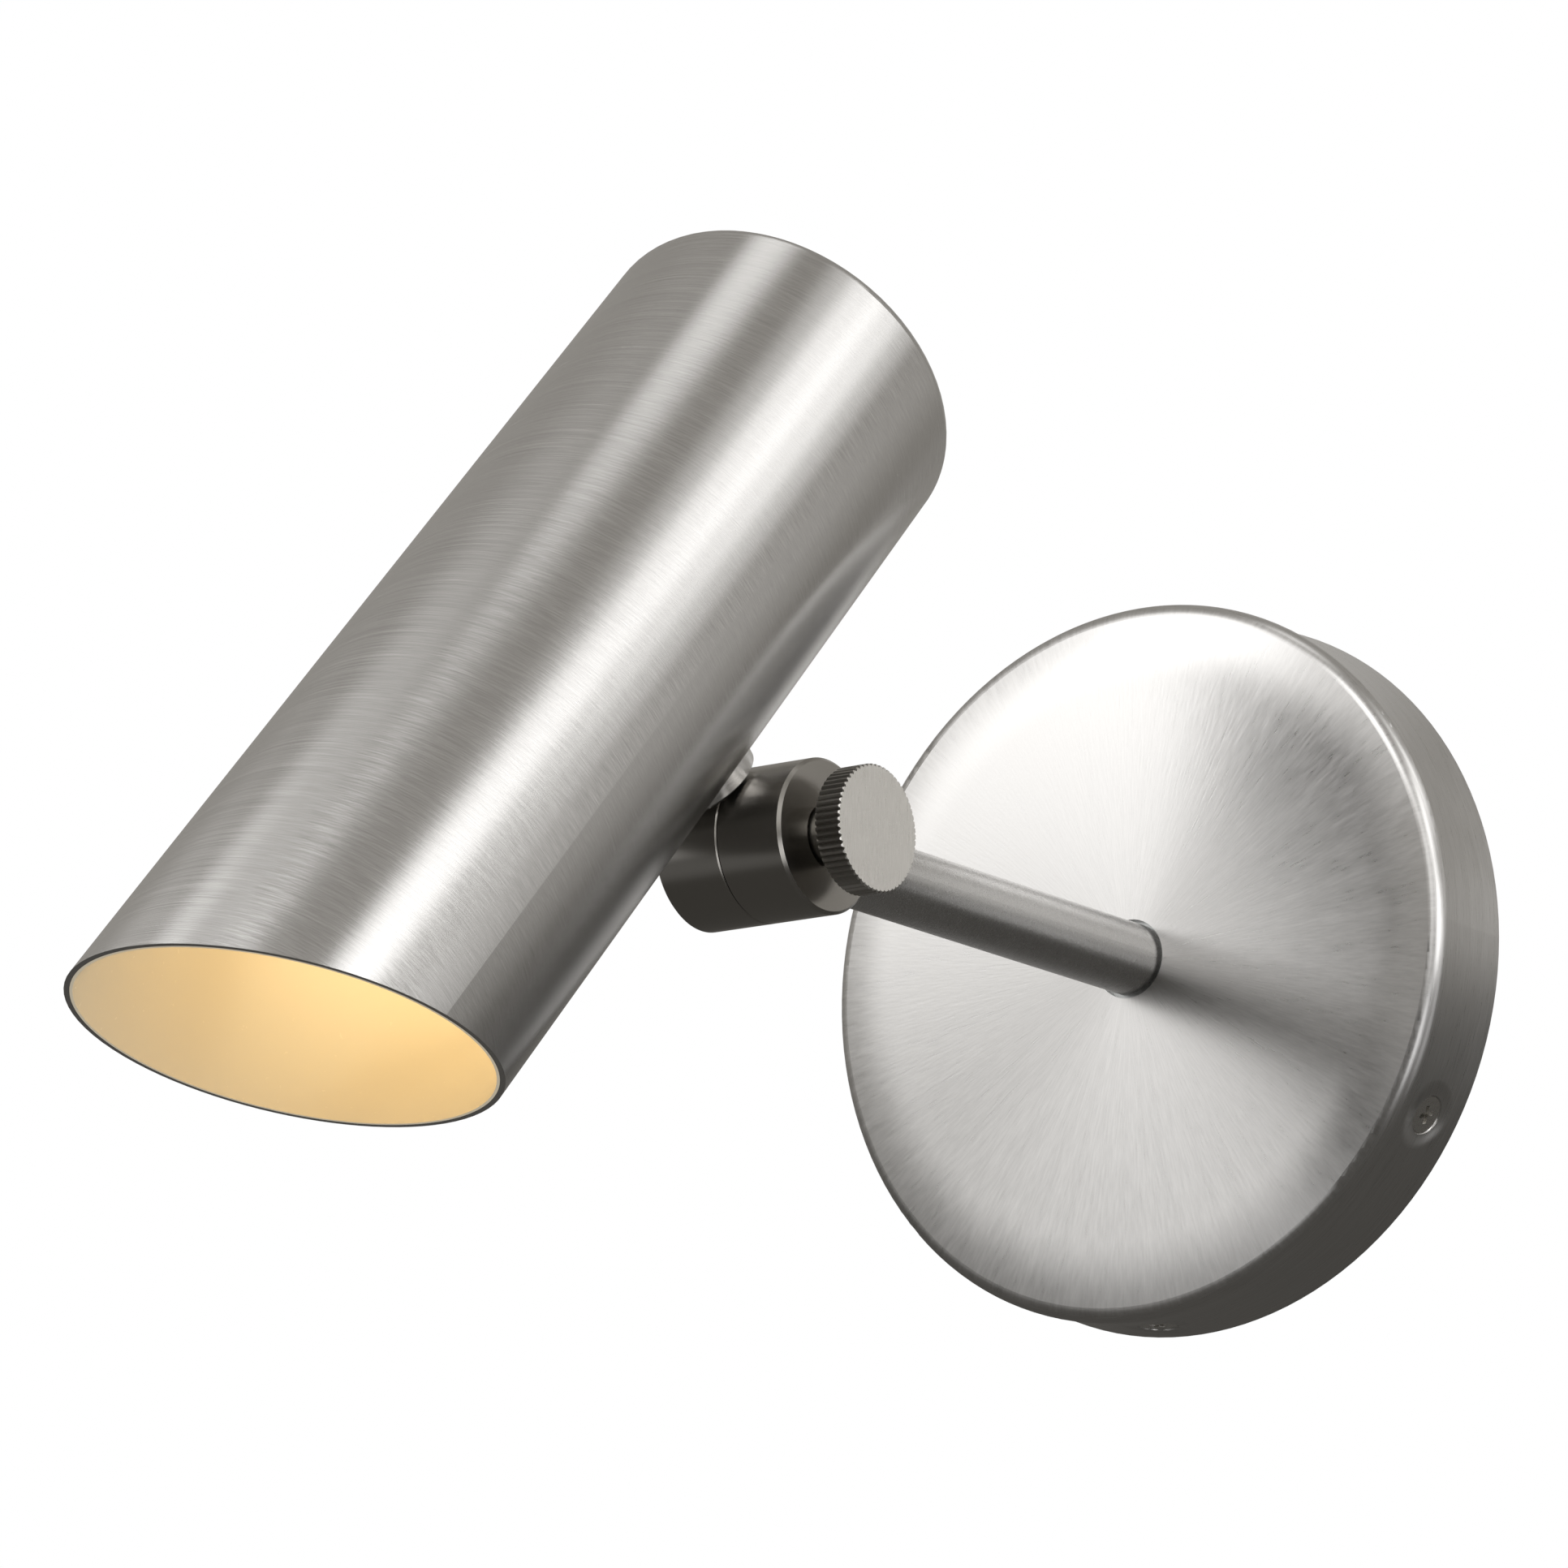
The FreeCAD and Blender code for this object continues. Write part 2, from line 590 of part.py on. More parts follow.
def make_arm_half():
    body = new_body("knuckle_arm_half")
    recess = neck_dia / 2 + neck_gap
    hole = clamp_dia / 2 + clamp_gap
    end = [(half_long, recess), (half_long - neck_sink, recess), (half_long - neck_sink, hole)]
    turned(body, "barrel", "XY", "H_Axis", half_profile(1, friction_sink, end))
    notch = new_sketch(body, "notch", "YZ")
    top = arm_dia / 2 + arm_seat_gap - knuckle_lift
    draw_outline(notch, box_points(knuckle_flat, knuckle_dia, -knuckle_dia, top))
    pocketed(body, notch, half_long * 2, midplane=True)
    cylinder(body, "socket", stem_hole_dia, knuckle_dia, (0, socket_floor, -knuckle_lift), ALONG_Y)
    place(body, knuckle_at)
    return body


def make_head_half():
    body = new_body("knuckle_head_half")
    hole = clamp_dia / 2 + clamp_gap
    end = [(half_long, 0), (clamp_deep, 0), (clamp_deep, hole)]
    seat = friction_thick - friction_sink - half_gap
    turned(body, "barrel", "XY", "H_Axis", half_profile(-1, seat, end))
    cylinder(body, "pad", pad_dia, boss_seat - 10.5, (0, -10.5, 0), AGAINST_Y, cut=False)
    cylinder(body, "socket", stem_hole_dia, knuckle_dia, (0, -socket_floor, 0), AGAINST_Y)
    place(body, (head_step, -arm_reach, knuckle_lift), -head_tilt)
    return body


def make_friction_washer():
    body = new_body("friction_washer")
    face = half_long / -2 + friction_sink
    hole = clamp_dia / 2 + clamp_gap
    points = box_points(face - friction_thick, face, hole, friction_dia / 2)
    turned(body, "ring", "XY", "H_Axis", points)
    place(body, knuckle_at)
    return body


def make_spring_washer():
    body = new_body("spring_washer")
    floor = half_long / 2 - neck_sink
    points = box_points(floor, floor + spring_thick, clamp_dia / 2 + clamp_gap, neck_dia / 2)
    turned(body, "ring", "XY", "H_Axis", points)
    place(body, knuckle_at)
    return body


def make_thumbscrew():
    body = new_body("thumbscrew")
    shank = clamp_dia / 2
    tip = half_long / -2 - half_gap - clamp_deep + clamp_tip
    shoulder = half_long / 2 - neck_sink + spring_thick
    knob = half_long / 2 + knob_stand
    outside = knob + knob_thick
    rim = knob_dia / 2
    edge = 0.5
    points = [
        (tip, 0),
        (tip, shank - edge),
        (tip + edge, shank),
        (shoulder, shank),
        (shoulder, neck_dia / 2),
        (knob, neck_dia / 2),
        (knob, rim - knob_edge),
        (knob + knob_edge, rim),
        (outside - knob_edge, rim),
        (outside, rim - knob_edge),
        (outside, 0),
    ]
    turned(body, "screw", "XY", "H_Axis", points)
    groove = new_sketch(body, "knurl", "YZ")
    half_groove = rim * sine(size(180) / knurl_count) * 0.9
    draw_outline(groove, [(rim - knurl_deep, 0), (rim + 0.1, half_groove), (rim + 0.1, -half_groove)])
    bind(groove, "AttachmentOffset.Base.z", knob - 1)
    cut = pocketed(body, groove, knob_thick + 2, reverse=True)
    pattern = body.newObject("PartDesign::PolarPattern", "thumbscrew_knurl_pattern")
    pattern.Originals = [cut]
    pattern.Axis = (origin_of(body, "X"), [""])
    pattern.Angle = 360
    bind(pattern, "Occurrences", knurl_count)
    body.Tip = pattern
    place(body, knuckle_at)
    return body


def head_place(body, side=0, back=0):
    """Puts a piece drawn in the tube's frame onto the tilted head, moved sideways or towards the knuckle."""
    reach = tube_offset - back
    away = -(arm_reach + reach * cosine(head_tilt))
    place(body, (head_step + side, away, knuckle_lift + reach * sine(head_tilt)), -head_tilt)
    return body


def make_tube():
    body = new_body("tube_shade")
    outside = tube_dia / 2
    inside = outside - tube_wall
    past = -(tube_front + tube_dia)
    round_centre = (outside - tube_corner, tube_back - tube_corner)
    points = [
        (0, tube_back),
        (outside - tube_corner, tube_back),
        (outside, tube_back - tube_corner),
        (outside, past),
        (inside, past),
        (inside, tube_back - tube_wall - 1),
        (inside - 1, tube_back - tube_wall),
        (0, tube_back - tube_wall),
    ]
    turned(body, "shell", "XZ", "V_Axis", points, {1: (*round_centre, tube_corner)})
    mouth = new_sketch(body, "mouth", "YZ")
    rise = tube_dia * tangent(tube_mitre)
    corners = [
        (-tube_dia, -tube_front - rise),
        (tube_dia, -tube_front + rise),
        (tube_dia, past - tube_dia),
        (-tube_dia, past - tube_dia),
    ]
    draw_outline(mouth, corners)
    pocketed(body, mouth, tube_dia * 2, midplane=True)
    cylinder(body, "stem_hole", stem_hole_dia, tube_dia, (0, 0, 0), ALONG_Y)
    return head_place(body)


def make_collar():
    body = new_body("tilt_collar")
    hole = stem_hole_dia / 2
    rim = boss_dia / 2
    low = tube_offset - boss_seat
    high = across(tube_dia, rim) - 1
    points = [(hole, high), (rim, high), (rim, low - boss_edge), (rim - boss_edge, low), (hole, low)]
    turned(body, "ring", "XY", "V_Axis", points)
    saddle = tube_dia + saddle_gap * 2
    cylinder(body, "saddle", saddle, boss_dia * 2, (0, 0, -boss_dia), ALONG_Z)
    return head_place(body)


def make_stem():
    body = new_body("stem")
    bore = arm_bore / 2
    rim = thread_dia / 2
    foot = tube_offset - stem_foot
    tip = stem_nut_back - thread_past
    turned(body, "pipe", "XY", "V_Axis", box_points(bore, rim, tip, foot))
    return head_place(body)


def make_strap():
    body = new_body("lampholder_strap")
    side = new_sketch(body, "side", "YZ")
    corners = [
        (strap_outside, -strap_tail),
        (strap_outside, strap_shelf + strap_thick),
        (-strap_reach, strap_shelf + strap_thick),
        (-strap_reach, strap_shelf),
        (strap_inside, strap_shelf),
        (strap_inside, -strap_tail),
    ]
    draw_outline(side, corners)
    padded(body, side, strap_wide, midplane=True)
    cylinder(body, "stem_hole", stem_hole_dia, tube_dia, (0, 0, 0), ALONG_Y)
    for number, way in enumerate((-1, 1), 1):
        spot = (0, holder_screw_pitch / 2 * way, strap_shelf - 2)
        cylinder(body, f"screw_hole_{number}", holder_screw_dia + screw_gap * 2, 6, spot, ALONG_Z)
    return head_place(body)


def make_lampholder():
    body = new_body("lampholder")
    rim = holder_dia / 2
    recess = base_dia / 2 + pin_gap
    floor = holder_mouth + holder_deep
    edge = 0.8
    points = [
        (0, strap_shelf),
        (rim, strap_shelf),
        (rim, holder_mouth + edge),
        (rim - edge, holder_mouth),
        (recess, holder_mouth),
        (recess, floor),
        (0, floor),
    ]
    turned(body, "ceramic", "XZ", "V_Axis", points)
    for number, way in enumerate((-1, 1), 1):
        spot = (pin_pitch / 2 * way, 0, floor - 1)
        cylinder(body, f"pin_hole_{number}", pin_dia + pin_gap * 2, pin_long + 2, spot, ALONG_Z)
        spot = (0, holder_screw_pitch / 2 * way, strap_shelf + 1)
        cylinder(body, f"screw_hole_{number}", holder_screw_dia + screw_gap * 2, holder_screw_long, spot, AGAINST_Z)
    return head_place(body)


def make_holder_screws():
    """The two screws that hold the lampholder, as one group."""
    screws = []
    seat = strap_shelf + strap_thick
    for number, way in enumerate((-1, 1), 1):
        body = new_body(f"holder_screw_{number}")
        head = holder_head_dia / 2
        shank = holder_screw_dia / 2
        top = seat + holder_head_tall
        foot = seat - holder_screw_long
        points = [(0, top), (head - 0.5, top), (head, top - 0.5), (head, seat), (shank, seat), (shank, foot), (0, foot)]
        turned(body, "screw", "XZ", "V_Axis", points)
        screws.append(head_place(body, back=holder_screw_pitch / 2 * way))
    return grouped("lampholder_screws", screws)


def make_lamp_base():
    body = new_body("lamp_base")
    rim = base_dia / 2
    points = [(0, cup_seat), (rim, cup_seat), (rim, base_seat - 0.5), (rim - 0.5, base_seat), (0, base_seat)]
    turned(body, "ceramic", "XZ", "V_Axis", points)
    return head_place(body)


def make_lamp_pins():
    """The lamp's two contact pins as one group."""
    pins = []
    for number, way in enumerate((-1, 1), 1):
        body = new_body(f"lamp_pin_{number}")
        top = base_seat + pin_long
        rim = pin_dia / 2
        waist = rim - 0.9
        points = [(0, base_seat), (waist, base_seat), (waist, top - 2.5), (rim, top - 2.5), (rim, top), (0, top)]
        turned(body, "pin", "XZ", "V_Axis", points)
        pins.append(head_place(body, side=pin_pitch / 2 * way))
    return grouped("lamp_pins", pins)


def make_reflector():
    body = new_body("lamp_reflector")
    neck = base_dia / 2
    rim = cup_dia / 2
    lip = cup_mouth + cup_rim
    tall = cup_seat - lip
    shape = [(0, neck), (0.3, neck + 5.5), (0.65, rim - 2.6), (1, rim)]
    outer = [(radius, cup_seat - tall * along) for along, radius in shape]
    inner = [(radius - cup_wall, cup_seat - tall * along) for along, radius in shape[1:]]
    points = [(0, cup_seat)] + outer + [(rim, cup_mouth), (rim - cup_wall, cup_mouth)]
    points += inner[::-1] + [(neck - cup_wall, cup_seat - cup_wall), (0, cup_seat - cup_wall)]
    turned(body, "cup", "XZ", "V_Axis", points)
    return head_place(body)


def make_lens():
    body = new_body("lamp_lens")
    rim = cup_dia / 2 - cup_wall - lens_gap
    points = box_points(0, rim, lens_seat, lens_seat + lens_thick)
    turned(body, "disc", "XZ", "V_Axis", points)
    return head_place(body)


# --- The assembly ----------------------------------------------------------------------------------------

parts = [
    make_canopy(),
    make_backing_plate(),
    make_bracket(),
    make_canopy_screws(),
    make_ground_screw(),
    make_arm(),
    make_washer("arm_washer", -backing_back),
    make_nut("arm_nut", washer_thick - backing_back),
    make_bushing("arm_bushing", -arm_end, 1),
    make_arm_half(),
    make_friction_washer(),
    make_spring_washer(),
    make_thumbscrew(),
    make_head_half(),
    make_collar(),
    make_stem(),
    make_tube(),
    make_strap(),
    head_place(make_washer("stem_washer", strap_inside - washer_thick)),
    head_place(make_nut("stem_nut", stem_nut_back)),
    head_place(make_bushing("stem_bushing", stem_nut_back - thread_past, -1)),
    make_lampholder(),
    make_holder_screws(),
    make_lamp_base(),
    make_lamp_pins(),
    make_reflector(),
    make_lens(),
]

doc.recompute()
for item in doc.Objects:
    if "Invalid" in item.State or "Error" in item.State:
        raise RuntimeError(f"{item.Label} did not build: {item.State}")

os.makedirs("parts", exist_ok=True)
for part in parts:
    if part.Shape.isNull() or not part.Shape.isValid():
        raise RuntimeError(f"{part.Label} has no valid shape")
    part.Shape.exportStep(f"parts/{part.Label}.step")
    bounds = part.Shape.BoundBox
    print(f"{part.Label}: {len(part.Shape.Solids)} solid(s), {part.Shape.Volume:.0f} mm3, "
          f"x {bounds.XMin:.1f}..{bounds.XMax:.1f}, y {bounds.YMin:.1f}..{bounds.YMax:.1f}, "
          f"z {bounds.ZMin:.1f}..{bounds.ZMax:.1f}")
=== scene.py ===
"""Visual model of the tube wall light: satin brushed nickel, white enamel in the tube tinted cream
as painted lamplight, lit lamp.
"""
import math

import bpy
from mathutils import Matrix, Vector


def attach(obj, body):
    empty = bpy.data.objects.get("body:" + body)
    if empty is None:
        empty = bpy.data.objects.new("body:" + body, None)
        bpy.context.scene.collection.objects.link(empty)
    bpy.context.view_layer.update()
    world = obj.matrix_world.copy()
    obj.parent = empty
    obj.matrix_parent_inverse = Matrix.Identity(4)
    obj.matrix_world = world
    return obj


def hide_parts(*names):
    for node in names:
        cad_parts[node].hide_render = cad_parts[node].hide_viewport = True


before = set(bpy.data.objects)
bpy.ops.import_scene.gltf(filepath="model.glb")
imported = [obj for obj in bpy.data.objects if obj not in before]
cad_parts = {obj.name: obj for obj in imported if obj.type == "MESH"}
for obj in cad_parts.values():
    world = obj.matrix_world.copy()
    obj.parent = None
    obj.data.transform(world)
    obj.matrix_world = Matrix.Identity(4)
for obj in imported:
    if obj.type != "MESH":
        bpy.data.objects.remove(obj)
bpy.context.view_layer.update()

# --- Places on the light, in metres, as the solids have them --------------------

X_AXIS, Y_AXIS = Vector((1, 0, 0)), Vector((0, 1, 0))
CANOPY_CENTRE = Vector((0, 0, 0))
TILT = math.radians(41.5)                                 # the tube's tilt from straight down
AWAY = Vector((0, -math.cos(TILT), math.sin(TILT)))       # from the knuckle to the tube's axis
TO_MOUTH = Vector((0, -math.sin(TILT), -math.cos(TILT)))  # along the tube, to its mouth
KNUCKLE = Vector((0, -0.1084, 0.0016))                    # on the tilt axis, at the arm's end
COLLAR = KNUCKLE - X_AXIS * 0.01232
TUBE = COLLAR + AWAY * 0.045                              # on the tube's axis
BORE_RADIUS = 0.0292           # within the tube's wall, from 28.8 to 30 mm off its axis
BACK_WALL = -0.0638            # within the closed back end, along the tube
FACE_PLANE = -0.0175           # just behind the canopy's face, along Y
KNOB_END = 0.0155              # just behind the knob's flat end, along X
LAMP_PLACE = 0.052             # the light's source, along the tube from TUBE
SCREW_TOP = 0.0595             # top of a side screw's head, from the canopy's axis
SCREW_FROM_WALL = 0.0084
SCREW_ANGLES = [math.radians(angle) for angle in (-30, -90, -150)]


def hex_rgb(code):
    """An sRGB hex code as linear RGBA."""
    parts = [int(code[i:i + 2], 16) / 255 for i in (1, 3, 5)]
    linear = [c / 12.92 if c <= 0.04045 else ((c + 0.055) / 1.055) ** 2.4 for c in parts]
    return (*linear, 1.0)


WHITE = hex_rgb("#FFFFFF")
NICKEL = hex_rgb("#D3D2D1")
# nickel darkened as painted shade, for the knuckle and the knob
NICKEL_PAINTED_SHADE = hex_rgb("#AAA7A2")
# nickel paled as a painted highlight, for the knob's flat end
NICKEL_PAINTED_HIGHLIGHT = hex_rgb("#EDEBE7")
# white enamel tinted cream as painted warm lamplight
CREAM_PAINTED_LAMPLIGHT = hex_rgb("#F1E4CB")

# --- Materials ---------------------------------------------------------------

# a Mix node's sockets for numbers, vectors and colours
NUMBER_A, NUMBER_B = 2, 3
VECTOR_A, VECTOR_B, VECTOR_OUT = 4, 5, 1
COLOR_A, COLOR_B, COLOR_OUT = 6, 7, 2

# Brush strokes run round a piece. A scale of 6500 to the metre makes them 0.15 mm wide, twice what
# 240 grit leaves, so that they show. Each is a tenth of a radian long: 3 mm on the tube.
STROKE_SCALE, STROKE_LENGTH = 6500.0, 10.0
BAND_SCALE, BAND_SHARE = 3.0, 0.15       # uneven pressure, three strokes wide
TINT_SHARE, ROUGH_SHARE, BUMP_SHARE = 0.6, 0.2, 0.12      # how far a stroke changes each
STROKE_DEPTH = 0.0001
END_STROKE_RUN = 260.0         # strokes 4 mm long on the knob's flat end
END_STROKE_SHARE, END_TINT_SHARE = 2.0, 0.2

# the enamel inside the tube, sprayed: its orange peel is 1.1 mm, and its gloss changes with it
PEEL_SCALE, PEEL_SHARE, ENAMEL_ROUGH = 900.0, 0.1, 0.2

# plain finishes: how far their clouds change the gloss, and how deep they are
CLOUD_ROUGH, CLOUD_DEPTH = 0.12, 0.0002

# The canopy's face was turned on a lathe. Its fine grooves throw spokes of light out from the arm,
# drawn as spokes that are about 0.3 mm wide half way out and 4 mm long, over broader ones.
SPOKE_COUNT, SPOKE_LENGTH = 95.0, 260.0
FAN_COUNT, FAN_LENGTH = 16.0, 40.0
SPOKE_SHARE, FAN_SHARE = 0.8, 0.5
FACE_CROWN = 0.3               # the face's slope in radians per metre from the arm
ROLL_START, ROLL_END, ROLL_SLOPE = 0.046, 0.0588, 0.17    # its soft roll near the rim

# The sheet is pressed in round each side screw, over a ring 3.4 mm wide. The ring's middle is
# this far from the canopy's axis.
PRESS_RADIUS = 0.0597
PRESS_START, PRESS_END, PRESS_DEPTH = 0.0028, 0.0062, 0.0007


def add_node(tree, kind, inputs=(), output=0, **settings):
    """Add one node with its settings, values and links, and give back one of its outputs."""
    node = tree.nodes.new("ShaderNode" + kind)
    for name, value in settings.items():
        setattr(node, name, value)
    for key, value in dict(inputs).items():
        if isinstance(value, bpy.types.NodeSocket):
            tree.links.new(value, node.inputs[key])
        else:
            node.inputs[key].default_value = value
    return node.outputs[output] if node.outputs else None


def empty_material(name):
    material = bpy.data.materials.new(name)
    material.use_nodes = True
    material.node_tree.nodes.clear()
    return material, material.node_tree


def turned_place(tree, point, axis):
    """Where a point is on a turned piece: its place, its distance along the axis, the way out to
    it, its distance out and the way round the axis."""
    place = add_node(tree, "TexCoord", output="Object")
    offset = add_node(tree, "VectorMath", {0: place, 1: point}, operation="SUBTRACT")
    along = add_node(tree, "VectorMath", {0: offset, 1: axis}, "Value", operation="DOT_PRODUCT")
    spoke = add_node(tree, "VectorMath", {0: -axis, 1: along, 2: offset}, operation="MULTIPLY_ADD")
    out = add_node(tree, "VectorMath", {0: spoke}, operation="NORMALIZE")
    away = add_node(tree, "VectorMath", {0: spoke}, "Value", operation="LENGTH")
    turn = add_node(tree, "VectorMath", {0: axis, 1: spoke}, operation="CROSS_PRODUCT")
    turn = add_node(tree, "VectorMath", {0: turn}, operation="NORMALIZE")
    return place, along, out, away, turn


def brushed_nickel(name, point, axis, color, rough, streak, spread,
                   turned_face=False, flat_end=False, painted_inside=False):
    """Satin nickel plate, brushed round an axis. streak is how strongly the strokes show, and
    spread how far they draw a highlight out across themselves. turned_face is for the canopy,
    flat_end for the knob, whose end it paints paler as a painted highlight, and painted_inside
    for the tube, whose enamel it tints cream as painted warm lamplight."""
    material, tree = empty_material(name)
    place, along, out, away, turn = turned_place(tree, point, axis)
    lay = add_node(tree, "CombineXYZ", {"X": along, "Y": away})
    lay = add_node(tree, "VectorMath", {0: lay, 1: [STROKE_SCALE / STROKE_LENGTH] * 3, 2: out},
                   operation="MULTIPLY_ADD")
    strokes = add_node(tree, "TexNoise", {"Vector": lay, "Scale": STROKE_LENGTH, "Detail": 3.0,
                                          "Roughness": 0.65})
    bands = add_node(tree, "TexNoise", {"Vector": lay, "Scale": BAND_SCALE, "Detail": 2.0,
                                        "Roughness": 0.5})
    grain = add_node(tree, "Math", {0: bands, 1: BAND_SHARE, 2: strokes}, operation="MULTIPLY_ADD")
    grain = add_node(tree, "Math", {0: grain, 1: 0.5 + 0.5 * BAND_SHARE}, operation="SUBTRACT")

    if turned_face:
        spoke_run = (0, SPOKE_LENGTH / SPOKE_COUNT, 0)
        fan_run = (0, FAN_LENGTH / FAN_COUNT, 0)
        spokes = add_node(tree, "VectorMath", {0: away, 1: spoke_run, 2: out},
                          operation="MULTIPLY_ADD")
        spokes = add_node(tree, "TexNoise", {"Vector": spokes, "Scale": SPOKE_COUNT, "Detail": 3.0,
                                             "Roughness": 0.6})
        fans = add_node(tree, "VectorMath", {0: away, 1: fan_run, 2: out}, operation="MULTIPLY_ADD")
        fans = add_node(tree, "TexNoise", {"Vector": fans, "Scale": FAN_COUNT, "Detail": 3.0,
                                           "Roughness": 0.6})
        rays = add_node(tree, "Math", {0: fans, 1: FAN_SHARE, 2: spokes}, operation="MULTIPLY_ADD")
        middle = 0.5 + 0.5 * FAN_SHARE
        rays = add_node(tree, "Math", {0: rays, 1: SPOKE_SHARE, 2: -middle * SPOKE_SHARE},
                        operation="MULTIPLY_ADD")
        on_face = add_node(tree, "Math", {0: along, 1: FACE_PLANE}, operation="LESS_THAN")
        grain = add_node(tree, "Mix", {"Factor": on_face, NUMBER_A: grain, NUMBER_B: rays})

    if flat_end:
        lines = add_node(tree, "VectorMath", {0: place, 1: (0, STROKE_SCALE, END_STROKE_RUN)},
                         operation="MULTIPLY")
        lines = add_node(tree, "TexNoise", {"Vector": lines, "Scale": 1.0, "Detail": 3.0,
                                            "Roughness": 0.7})
        lines = add_node(tree, "Math", {0: lines, 1: END_STROKE_SHARE, 2: -END_STROKE_SHARE / 2},
                         operation="MULTIPLY_ADD")
        on_end = add_node(tree, "Math", {0: along, 1: KNOB_END}, operation="GREATER_THAN")
        grain = add_node(tree, "Mix", {"Factor": on_end, NUMBER_A: grain, NUMBER_B: lines})

    shade = add_node(tree, "Math", {0: grain, 1: TINT_SHARE * streak, 2: 1.0},
                     operation="MULTIPLY_ADD")
    base = add_node(tree, "VectorMath", {0: color[:3], "Scale": shade}, operation="SCALE")
    roughness = add_node(tree, "Math", {0: grain, 1: ROUGH_SHARE * streak, 2: rough},
                         operation="MULTIPLY_ADD")
    normal = add_node(tree, "Bump", {"Strength": BUMP_SHARE * streak, "Distance": STROKE_DEPTH,
                                     "Height": grain})
    surface = add_node(tree, "NewGeometry", output="Normal")
    across = add_node(tree, "VectorMath", {0: surface, 1: turn}, operation="CROSS_PRODUCT")
    metallic = 1.0

    if turned_face:
        roll = add_node(tree, "MapRange", {"Value": away, "From Min": ROLL_START,
                                           "From Max": ROLL_END, "To Max": ROLL_SLOPE},
                        interpolation_type="SMOOTHSTEP")
        slope = add_node(tree, "Math", {0: away, 1: FACE_CROWN, 2: roll}, operation="MULTIPLY_ADD")
        normal = add_node(tree, "VectorMath", {0: out, 1: slope, 2: normal},
                          operation="MULTIPLY_ADD")
        normal = add_node(tree, "VectorMath", {0: normal}, operation="NORMALIZE")
        height = 1.0
        for angle in SCREW_ANGLES:
            spot = Vector((math.cos(angle), 0, math.sin(angle))) * PRESS_RADIUS
            spot = spot - Y_AXIS * SCREW_FROM_WALL
            near = add_node(tree, "VectorMath", {0: place, 1: spot}, "Value", operation="DISTANCE")
            press = add_node(tree, "MapRange", {"Value": near, "From Min": PRESS_START,
                                                "From Max": PRESS_END},
                             interpolation_type="SMOOTHSTEP")
            height = add_node(tree, "Math", {0: height, 1: press}, operation="MULTIPLY")
        normal = add_node(tree, "Bump", {"Strength": 1.0, "Distance": PRESS_DEPTH,
                                         "Height": height, "Normal": normal})

    if flat_end:
        # the flat end painted paler, as a painted highlight
        shade = add_node(tree, "Math", {0: grain, 1: END_TINT_SHARE, 2: 1.0},
                         operation="MULTIPLY_ADD")
        cut = add_node(tree, "VectorMath", {0: NICKEL_PAINTED_HIGHLIGHT[:3], "Scale": shade}, operation="SCALE")
        base = add_node(tree, "Mix", {"Factor": on_end, COLOR_A: base, COLOR_B: cut}, COLOR_OUT,
                        data_type="RGBA")
        across = add_node(tree, "Mix", {"Factor": on_end, VECTOR_A: across, VECTOR_B: Y_AXIS},
                          VECTOR_OUT, data_type="VECTOR")
        across = add_node(tree, "VectorMath", {0: across}, operation="NORMALIZE")

    if painted_inside:
        in_bore = add_node(tree, "Math", {0: away, 1: BORE_RADIUS}, operation="LESS_THAN")
        ahead = add_node(tree, "Math", {0: along, 1: BACK_WALL}, operation="GREATER_THAN")
        painted = add_node(tree, "Math", {0: in_bore, 1: ahead}, operation="MULTIPLY")
        peel = add_node(tree, "TexNoise", {"Vector": place, "Scale": PEEL_SCALE, "Detail": 2.0,
                                           "Roughness": 0.5})
        peel = add_node(tree, "Math", {0: peel, 1: PEEL_SHARE, 2: ENAMEL_ROUGH},
                        operation="MULTIPLY_ADD")
        # the enamel's cream is white tinted as painted warm lamplight
        base = add_node(tree, "Mix", {"Factor": painted, COLOR_A: base, COLOR_B: CREAM_PAINTED_LAMPLIGHT}, COLOR_OUT,
                        data_type="RGBA")
        roughness = add_node(tree, "Mix", {"Factor": painted, NUMBER_A: roughness, NUMBER_B: peel})
        metallic = add_node(tree, "Math", {0: 1.0, 1: painted}, operation="SUBTRACT")

    shader = add_node(tree, "BsdfPrincipled", {
        "Base Color": base, "Metallic": metallic, "Roughness": roughness,
        "Anisotropic": spread, "Tangent": across, "Normal": normal})
    add_node(tree, "OutputMaterial", {"Surface": shader})
    return material


def plain_finish(name, code, rough, metallic, spots, contrast, bump):
    """A plated, cast, glazed or moulded finish: one colour with a fine uneven surface. spots is how
    many of its cloudy spots fit in a metre, and contrast how far they change the colour."""
    material, tree = empty_material(name)
    place = add_node(tree, "TexCoord", output="Object")
    clouds = add_node(tree, "TexNoise", {"Vector": place, "Scale": spots, "Detail": 4.0,
                                         "Roughness": 0.6})
    color = hex_rgb(code)[:3]
    darker = (*(part * (1 - contrast) for part in color), 1)
    lighter = (*(min(part * (1 + contrast), 1) for part in color), 1)
    base = add_node(tree, "Mix", {"Factor": clouds, COLOR_A: darker, COLOR_B: lighter}, COLOR_OUT,
                    data_type="RGBA")
    roughness = add_node(tree, "Math", {0: clouds, 1: CLOUD_ROUGH, 2: rough - CLOUD_ROUGH / 2},
                         operation="MULTIPLY_ADD")
    normal = add_node(tree, "Bump", {"Strength": bump, "Distance": CLOUD_DEPTH, "Height": clouds})
    shader = add_node(tree, "BsdfPrincipled", {"Base Color": base, "Metallic": metallic,
                                               "Roughness": roughness, "Normal": normal})
    add_node(tree, "OutputMaterial", {"Surface": shader})
    return material


